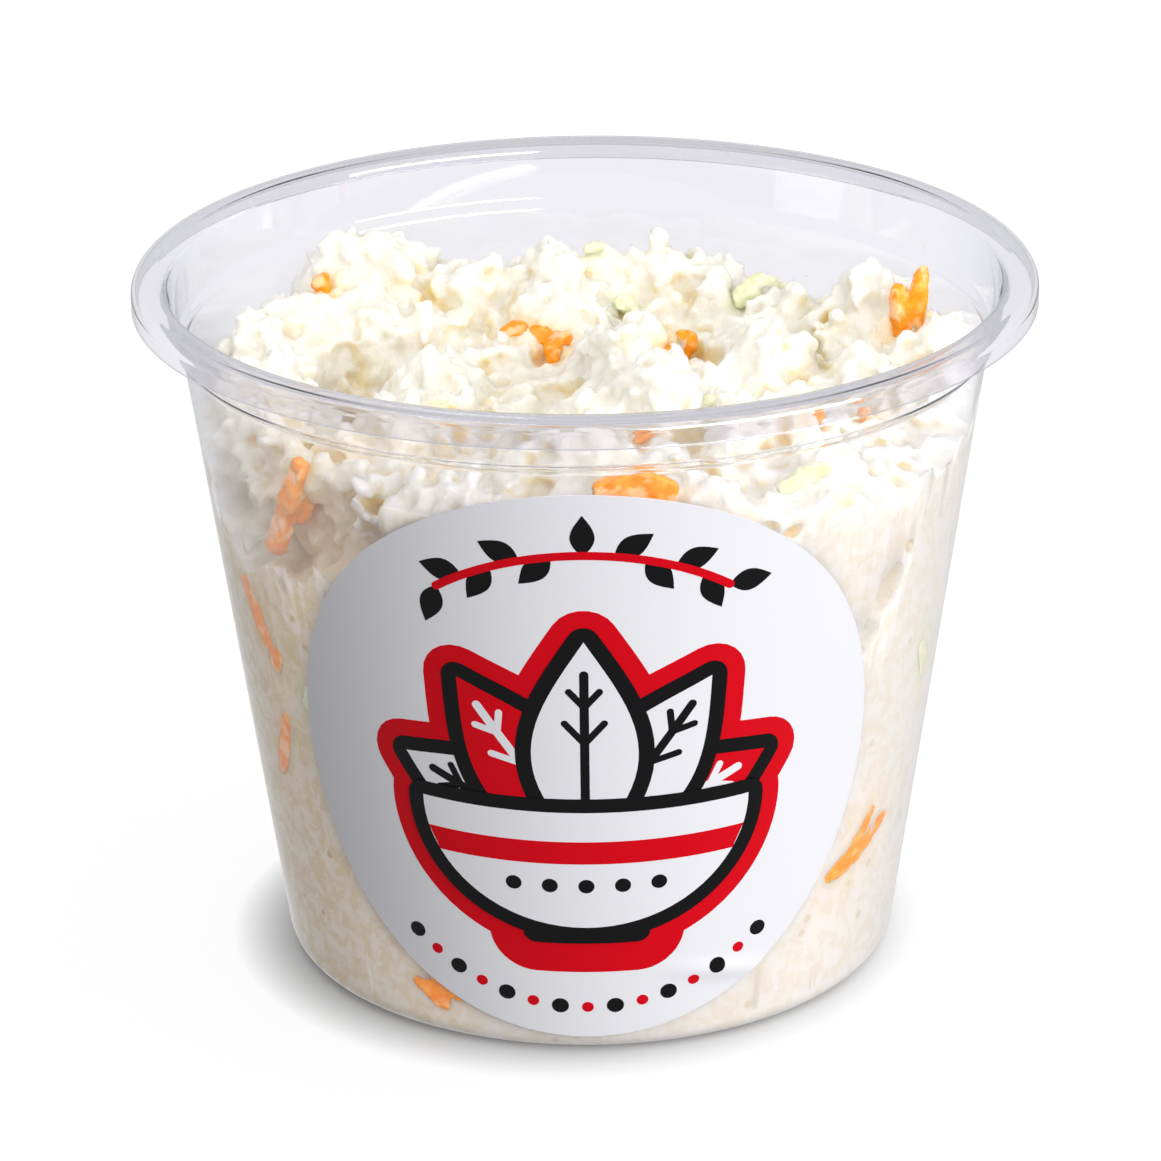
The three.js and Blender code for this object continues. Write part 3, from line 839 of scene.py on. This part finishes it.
# stores what dressedCabbage reads: how deep in a hollow each point is, for the painted crevice shade, how
# pressed flat, how much painted shade from facing away from the key softbox, and how stained
def storeLooks(slaw, carrotPieces, greenPieces):
    mesh = slaw.data
    upper = np.array([smoothStep(40, 60, v.co.z / mm) for v in mesh.vertices])
    # painted crevice shade from how much of the open each point's rays miss, on the upper salad only
    deep = hollowness(slaw, reaches["hollowReach"] * mm, reaches["hollowRays"]) - reaches["hollowFrom"]
    storeAttribute(mesh, "hollowShade", np.clip(deep / 0.6, 0, 1) ** 1.5 * upper)
    pressed = np.array([pressedShare(v.co / mm) for v in mesh.vertices])
    storeAttribute(mesh, "pressed", pressed)
    # painted shade on the side away from the key softbox, weaker where the surface is free
    paintedShade = np.array([paintedShadeShare(v.co / mm, v.normal) for v in mesh.vertices])
    added = reaches["paintedShadePressed"] - reaches["paintedShadeFree"]
    storeAttribute(mesh, "paintedShade", paintedShade * (reaches["paintedShadeFree"] + added * pressed))
    middle, reach = Vector(juice["middle"]) * mm, juice["reach"] * mm
    soaked = np.array([math.exp(-((v.co - middle).length / reach) ** 2) for v in mesh.vertices])
    near = nearness(slaw, carrotPieces, reaches["stainReach"] * mm) * reaches["stainShare"]
    stain = np.maximum(near, soaked * juice["share"])
    storeAttribute(mesh, "carrotStain", stain * (1 - 0.7 * pressed))
    green = nearness(slaw, greenPieces, reaches["greenReach"] * mm) * reaches["greenShare"]
    storeAttribute(mesh, "leafGreen", green)


def makeHeap():
    slaw = joinAll(makeCore(), makeChoppedPieces())
    addModifier(slaw, "REMESH", mode="VOXEL", voxel_size=heap["voxel"] * mm)
    addModifier(slaw, "SMOOTH", factor=0.5, iterations=1)
    applyModifiers(slaw)
    freeSurface = freeSurfaceGroup(slaw)
    for name, kind, size, depth in heap["relief"]:
        texture = bpy.data.textures.new(name, kind)
        texture.noise_scale = size * mm
        addModifier(slaw, "DISPLACE", texture=texture, strength=depth * mm, mid_level=0.5,
                    texture_coords="LOCAL", vertex_group=freeSurface)
    addModifier(slaw, "SMOOTH", factor=0.4, iterations=1)
    applyModifiers(slaw)
    pressOnWall(slaw)
    faces = sum(len(p.vertices) - 2 for p in slaw.data.polygons)
    if faces > heap["triangles"]:
        addModifier(slaw, "DECIMATE", ratio=heap["triangles"] / faces)
        applyModifiers(slaw)
    print("slaw", faces, "triangles before thinning")
    return slaw


def makeSlaw():
    slaw = makeHeap()
    tree = BVHTree.FromObject(slaw, bpy.context.evaluated_depsgraph_get())
    places = [slantedPlace(*row) for row in settled(carrots, tree)] + [wallStrip(*row) for row in wallCarrots]
    for row in pocketCarrots:
        start, end = Vector(row[:3]), Vector(row[3:6])
        places.append(stripPlace(start, end, Vector((start.x, start.y, 0)), *row[6:]))
    carrotPieces = makeShreds("carrotShreds", places, 0.3, rawCarrot())
    places = [slantedPlace(*row) for row in settled(greens, tree)] + [wallStrip(*row) for row in wallGreens]
    greenPieces = makeShreds("greenCabbage", places, 0.7, greenCabbage())
    storeLooks(slaw, carrotPieces, greenPieces)
    smoothFaces(slaw, 180)
    finishPiece(slaw, "coleslaw", dressedCabbage())
    print("slaw finished")
    return [slaw, carrotPieces, greenPieces]


sticker = {
    "diameter": 62.4, "topHeight": 63.9, "turn": -0.8, "lift": 0.12, "thick": 0.12, "rings": 44, "sides": 180,
    "crease": {"u": 14.0, "v": -25.0, "turn": -12, "length": 5.0, "width": 0.9, "height": 0.3},
    "layer": 0.012, "inkThick": 0.01, "inkStep": 0.8,
}


# a flat point, u across and v up from the label's middle, laid on the cup's wall
def onWall(u, v, lift):
    crease = sticker["crease"]
    a = math.radians(crease["turn"])
    along = (u - crease["u"]) * math.cos(a) + (v - crease["v"]) * math.sin(a)
    across = (v - crease["v"]) * math.cos(a) - (u - crease["u"]) * math.sin(a)
    lift += crease["height"] * math.exp(-(along / crease["length"]) ** 2 - (across / crease["width"]) ** 2)
    fromApex = coneRadius(sticker["topHeight"]) / math.sin(coneAngle)
    centre = fromApex - sticker["diameter"] / 2
    slant = math.hypot(u, centre + v)
    around = math.atan2(u, centre + v) / math.sin(coneAngle) + math.radians(sticker["turn"])
    radius = slant * math.sin(coneAngle)
    out = radius + lift * math.cos(coneAngle)
    z = (radius - cupSize["coneFootRadius"]) / cupSize["coneSlope"] - lift * math.sin(coneAngle)
    return (out * math.sin(around), -out * math.cos(around), z)


def circleOutline(u, v, radius, sides):
    return [(u + radius * math.cos(math.tau * i / sides), v + radius * math.sin(math.tau * i / sides))
            for i in range(sides)]


# the same outline with points no further apart than the step
def evenOutline(outline, step):
    spread = []
    for (u0, v0), (u1, v1) in zip(outline, outline[1:] + outline[:1]):
        parts = max(1, math.ceil(math.hypot(u1 - u0, v1 - v0) / step))
        spread += [(u0 + (u1 - u0) * k / parts, v0 + (v1 - v0) * k / parts) for k in range(parts)]
    return spread


# rings from an outline to its middle, so that the sheet follows the wall's curve
def filledSheet(outlines, step):
    points, faces = [], []
    for outline, lift in outlines:
        outline = evenOutline(outline, 1.2 * step)
        twiceArea = sum(u0 * v1 - u1 * v0 for (u0, v0), (u1, v1) in zip(outline, outline[1:] + outline[:1]))
        outline = outline if twiceArea > 0 else outline[::-1]
        sides = len(outline)
        mu, mv = sum(u for u, _ in outline) / sides, sum(v for _, v in outline) / sides
        rings = max(1, math.ceil(max(math.hypot(u - mu, v - mv) for u, v in outline) / step))
        first = len(points) + 1
        points.append(onWall(mu, mv, lift))
        for k in range(1, rings + 1):
            points += [onWall(mu + (u - mu) * k / rings, mv + (v - mv) * k / rings, lift) for u, v in outline]
        for i in range(sides):
            j = (i + 1) % sides
            faces.append((first - 1, first + i, first + j))
            for row in range(first, first + (rings - 1) * sides, sides):
                faces.append((row + i, row + i + sides, row + j + sides, row + j))
    return points, faces


def makeSheet(name, outlines, step, thick, material):
    points, faces = filledSheet(outlines, step)
    piece = meshPiece(name, points, faces)
    addModifier(piece, "SOLIDIFY", thickness=thick * mm, offset=1.0)
    applyModifiers(piece)
    smoothFaces(piece, 40)
    finishPiece(piece, "label", material)
    print(name, len(piece.data.polygons), "faces")


# the printed picture: a bowl of salad leaves, a sprig over it and a row of dots under it
picture = {
    "bowlWidth": 33.0, "bowlDepth": 13.5, "bowlTop": -4.5, "footWidth": 10.0, "footHeight": 2.6,
    "footGap": 0.6, "bandLow": 6.0, "bandHigh": 3.4, "bowlDots": 2, "bowlDotStep": 3.6, "bowlDotDown": 8.6,
    "bowlDotSize": 0.8, "leafBase": -8.0,
    "leaves": [(-66, 20, 9.5, "white", 1), (66, 20, 9.5, "red", 1), (-35, 22, 10, "red", 4),
               (35, 22, 10, "white", 4), (0, 23, 10.5, "white", 7)],  # turn, length, width, colour, layer
    "outline": 1.6, "halo": 1.9, "vein": 0.9, "veinReach": 0.84,
    "sideVeins": ((0.5, 3.0), (0.68, 2.3)), "sideVeinTurn": 0.7,  # share of the leaf, and length
    "sprigRadius": 24.6, "sprigHalf": 36, "sprigLeaves": 11, "sprigLeaf": (4.4, 2.4), "sprigLean": 38,
    "stem": 0.9, "stemBars": 24,
    "dotRadius": 27.6, "dotHalf": 40, "dots": 15, "dotSize": 0.75,
}


# an almond leaf that grows from (u, v), turned clockwise from upright
def leafOutline(u, v, length, width, turn, steps=22):
    a = math.radians(turn)
    sides = [(width / 2 * math.sin(math.pi * (k / steps) ** 0.85), length * k / steps)
             for k in range(steps + 1)]
    loop = sides[:-1] + [(-x, y) for x, y in reversed(sides[1:])]
    return [(u + x * math.cos(a) + y * math.sin(a), v - x * math.sin(a) + y * math.cos(a)) for x, y in loop]


# the outline of a convex shape moved outwards, rounded at its corners
def grown(outline, distance):
    moved = []
    for i, (u, v) in enumerate(outline):
        before, after = outline[i - 1], outline[(i + 1) % len(outline)]
        a0 = math.atan2(before[0] - u, v - before[1])
        turn = (math.atan2(u - after[0], after[1] - v) - a0 + math.pi) % math.tau - math.pi
        steps = max(1, math.ceil(turn / 0.3))
        angles = [a0 + turn * k / steps for k in range(steps + 1)]
        moved += [(u + distance * math.cos(a), v + distance * math.sin(a)) for a in angles]
    return moved


# a line as a chain of short bars with round ends
def stroke(u0, v0, u1, v1, width):
    a = math.atan2(v1 - v0, u1 - u0)
    ends = []
    for u, v, start in ((u1, v1, -90), (u0, v0, 90)):
        ends += [(u + width / 2 * math.cos(a + math.radians(start + 18 * k)),
                  v + width / 2 * math.sin(a + math.radians(start + 18 * k))) for k in range(11)]
    return ends


def bowlOutline(top, depth, width, steps=40):
    curve = [(-width / 2 * math.cos(math.pi * k / steps), top - depth * math.sin(math.pi * k / steps))
             for k in range(steps + 1)]
    return curve + [(width / 2 - width * k / 20, top) for k in range(1, 20)]


# colour, layer and outline of each printed shape
def printedShapes():
    art = picture
    top, depth, width = art["bowlTop"], art["bowlDepth"], art["bowlWidth"]
    bowl = bowlOutline(top, depth, width)
    footMiddle = top - depth - art["footGap"]
    foot = stroke(-art["footWidth"] / 2, footMiddle, art["footWidth"] / 2, footMiddle, art["footHeight"])
    shapes = [("black", 10, grown(bowl, art["outline"])), ("black", 10, foot), ("white", 11, bowl)]
    shapes += [("red", 0, grown(outline, art["outline"] + art["halo"])) for outline in (bowl, foot)]
    for turn, length, wide, colour, layer in art["leaves"]:
        leaf = leafOutline(0, art["leafBase"], length, wide, turn)
        shapes += [("red", 0, grown(leaf, art["outline"] + art["halo"])),
                   ("black", layer, grown(leaf, art["outline"])), (colour, layer + 1, leaf)]
        vein = "black" if colour == "white" else "white"
        a = math.radians(turn)
        far = art["veinReach"] * length
        tip = (far * math.sin(a), art["leafBase"] + far * math.cos(a))
        shapes.append((vein, layer + 2, stroke(0, art["leafBase"], *tip, art["vein"])))
        for share, reach in art["sideVeins"]:
            u, v = share * length * math.sin(a), art["leafBase"] + share * length * math.cos(a)
            for b in (a - art["sideVeinTurn"], a + art["sideVeinTurn"]):
                side = stroke(u, v, u + reach * math.sin(b), v + reach * math.cos(b), art["vein"] * 0.8)
                shapes.append((vein, layer + 2, side))
    low, high = top - art["bandLow"], top - art["bandHigh"]
    lowHalf, highHalf = [width / 2 * math.sqrt(1 - ((top - v) / depth) ** 2) for v in (low, high)]
    shapes.append(("red", 12, [(-lowHalf, low), (lowHalf, low), (highHalf, high), (-highHalf, high)]))
    for k in range(-art["bowlDots"], art["bowlDots"] + 1):
        v = top - art["bowlDotDown"] + 0.03 * k * k
        shapes.append(("black", 12, circleOutline(art["bowlDotStep"] * k, v, art["bowlDotSize"], 20)))
    reach = art["sprigRadius"]
    for i in range(art["sprigLeaves"]):
        share = 2 * i / (art["sprigLeaves"] - 1) - 1
        a = math.radians(art["sprigHalf"] * share)
        sideways = math.copysign(90, share) + (art["sprigLean"] if i % 2 else -art["sprigLean"])
        lean = 0 if abs(share) < 0.01 else sideways  # the middle leaf stands upright
        shapes.append(("black", 1, leafOutline(reach * math.sin(a), reach * math.cos(a), *art["sprigLeaf"],
                                               math.degrees(a) + lean, 10)))
    for i in range(art["stemBars"]):
        a, b = [math.radians(art["sprigHalf"] * (2 * k / art["stemBars"] - 1)) for k in (i, i + 1)]
        shapes.append(("red", 2, stroke(reach * math.sin(a), reach * math.cos(a), reach * math.sin(b),
                                        reach * math.cos(b), art["stem"])))
    for i in range(art["dots"]):
        a = math.radians(art["dotHalf"] * (2 * i / (art["dots"] - 1) - 1))
        place = (art["dotRadius"] * math.sin(a), -art["dotRadius"] * math.cos(a))
        shapes.append(("red" if i % 2 else "black", 1,
                       circleOutline(*place, art["dotSize"] * (0.8 if i % 2 else 1.15), 20)))
    return shapes


def makeLabel():
    white = stickerPaper("coatedStickerPaper", stickerLook["white"])
    edge = circleOutline(0, 0, sticker["diameter"] / 2, sticker["sides"])
    makeSheet("paperLabel", [(edge, sticker["lift"])], sticker["diameter"] / 2 / sticker["rings"],
              sticker["thick"], white)
    inks = {"red": stickerPaper("redLabelInk", stickerLook["red"]),
            "black": stickerPaper("blackLabelInk", stickerLook["black"]), "white": white}
    surface = sticker["lift"] + sticker["thick"]
    shapes = printedShapes()
    for colour, material in inks.items():
        outlines = [(outline, surface + sticker["layer"] * layer)
                    for kind, layer, outline in shapes if kind == colour]
        makeSheet(colour + "Print", outlines, sticker["inkStep"], sticker["inkThick"], material)


# the last two set the reach and the turn of the painted shadow on the floor
stageSetup = {"floorSize": 6.0, "floorColor": "#9b9c9e", "floorGlow": 0.78, "skyColor": "#f2f2f3",
              "skyHorizon": 0.14, "skyZenith": 1.0, "skyInReflections": 0.85, "floorInReflections": 0.85,
              "paintedShadowMm": 6.5, "paintedShadowTurn": (0.55, -0.05, 0.83)}
softboxes = [  # name, place, aim, width, height, power in watts and what it lights
    ("keyRight", (0.81, -0.89, 0.48), (0, 0, 0.04), 1.3, 0.5, 16.0, "cup and label"),
    ("saladRight", (0.86, -0.94, 0.34), (0, 0, 0.04), 1.3, 0.8, 15.6, "salad"),
    ("fillLeft", (-0.38, -0.50, 1.02), (0, 0, 0.05), 0.8, 0.8, 6.0, "salad"),
    ("topSoft", (-0.05, -0.10, 1.30), (0, 0, 0.05), 1.2, 1.2, 2.4, "salad"),
    ("floorSoft", (0.55, -0.10, 0.80), (0, 0, 0.0), 0.5, 0.5, 1.0, "floor"),
]
cameraSetup = {"distance": 0.57427, "elevation": 21.806, "roll": -0.607, "aimHeight": 0.038769,
               "sideShift": -0.000753, "lens": 171.65}


# a lamp that lights only these pieces, or all but them
def linkLight(holder, pieces, state):
    share = bpy.data.collections.new(holder.name + "Lights")
    for i, piece in enumerate(pieces):
        share.objects.link(piece)
        share.collection_objects[i].light_linking.link_state = state
    holder.light_linking.receiver_collection = share


# a floor that glows as if backlit from below, its glow dimmed by ambient occlusion into a painted short soft
# shadow left of the foot
def makeFloor():
    deselectAll()
    bpy.ops.mesh.primitive_plane_add(size=stageSetup["floorSize"], location=(0, 0, 0))
    floor = bpy.context.object
    floor.name = "studioFloor"
    material = newMaterial("studioFloorWhite")
    # painted contact shadow: ambient occlusion, turned towards the right, dims the floor's glow near the cup
    clear = addNode(material, "ShaderNodeAmbientOcclusion", Distance=stageSetup["paintedShadowMm"] * mm,
                    Normal=addNode(material, "ShaderNodeCombineXYZ", X=stageSetup["paintedShadowTurn"][0],
                                   Y=stageSetup["paintedShadowTurn"][1], Z=stageSetup["paintedShadowTurn"][2]).outputs[0])
    glow = addNode(material, "ShaderNodeMath", {"operation": "MULTIPLY"}, i0=clear.outputs["AO"],
                   i1=stageSetup["floorGlow"])
    surface = addNode(material, "ShaderNodeBsdfPrincipled", Base_Color=linearColor(stageSetup["floorColor"]),
                      Roughness=0.6, Emission_Color=(1, 1, 1, 1), Emission_Strength=glow.outputs[0])
    addNode(material, "ShaderNodeOutputMaterial", Surface=surface.outputs[0])
    floor.data.materials.append(material)
    floor.visible_diffuse = floor.visible_shadow = False  # keeps the shaded side of the cup as dark as it is
    floor.visible_glossy = False  # and the plastic's edges from shining white
    return floor


def makeSoftboxes(floor, saladPieces):
    for name, place, aim, width, height, power, lit in softboxes:
        lamp = bpy.data.lights.new(name, "AREA")
        lamp.shape, lamp.size, lamp.size_y, lamp.energy = "RECTANGLE", width, height, power
        holder = bpy.data.objects.new(name, lamp)
        holder.location = place
        holder.rotation_euler = (Vector(aim) - Vector(place)).to_track_quat("-Z", "Y").to_euler()
        bpy.context.scene.collection.objects.link(holder)
        if lit == "cup and label":
            linkLight(holder, [floor] + saladPieces, "EXCLUDE")
        else:
            linkLight(holder, saladPieces if lit == "salad" else [floor], "INCLUDE")


# dimmer towards the horizon where it gives light, even where the plastic mirrors it
def makeSky():
    world = bpy.data.worlds.new("studioSky")
    world.use_nodes = True
    sky = world.node_tree.nodes["Background"]
    sky.inputs["Color"].default_value = linearColor(stageSetup["skyColor"])
    rays = addNode(world, "ShaderNodeLightPath")
    towards = addNode(world, "ShaderNodeTexCoord").outputs["Generated"]
    upwards = addNode(world, "ShaderNodeSeparateXYZ", i0=towards)
    dome = addNode(world, "ShaderNodeMapRange", Value=upwards.outputs["Z"],
                   To_Min=stageSetup["skyHorizon"], To_Max=stageSetup["skyZenith"])
    mirrored = addNode(world, "ShaderNodeMapRange", Value=upwards.outputs["Z"], From_Min=-0.3,
                       From_Max=0.2, To_Min=stageSetup["floorInReflections"],
                       To_Max=stageSetup["skyInReflections"])
    strength = addNode(world, "ShaderNodeMapRange", Value=rays.outputs["Diffuse Depth"],
                       To_Min=mirrored.outputs["Result"], To_Max=dome.outputs["Result"])
    world.node_tree.links.new(strength.outputs["Result"], sky.inputs["Strength"])
    bpy.context.scene.world = world


def makeCamera():
    setup = cameraSetup
    tilt, roll = math.radians(setup["elevation"]), math.radians(setup["roll"])
    forward = Vector((0, math.cos(tilt), -math.sin(tilt)))
    place = Vector((setup["sideShift"], 0, setup["aimHeight"])) - forward * setup["distance"]
    right = Vector((1, 0, 0))
    up = right.cross(forward)
    across = right * math.cos(roll) + up * math.sin(roll)
    upright = up * math.cos(roll) - right * math.sin(roll)
    lens = bpy.data.cameras.new("packshotCamera")
    lens.lens, lens.sensor_width, lens.sensor_fit = setup["lens"], 36, "HORIZONTAL"
    camera = bpy.data.objects.new("packshotCamera", lens)
    turn = Matrix((across, upright, -forward)).transposed()
    camera.matrix_world = Matrix.Translation(place) @ turn.to_4x4()
    bpy.context.scene.collection.objects.link(camera)
    bpy.context.scene.camera = camera
    bpy.context.scene.view_settings.view_transform = "Standard"


makeCup()
saladPieces = makeSlaw()
makeLabel()
makeSoftboxes(makeFloor(), saladPieces)
makeSky()
makeCamera()

print("everything made")
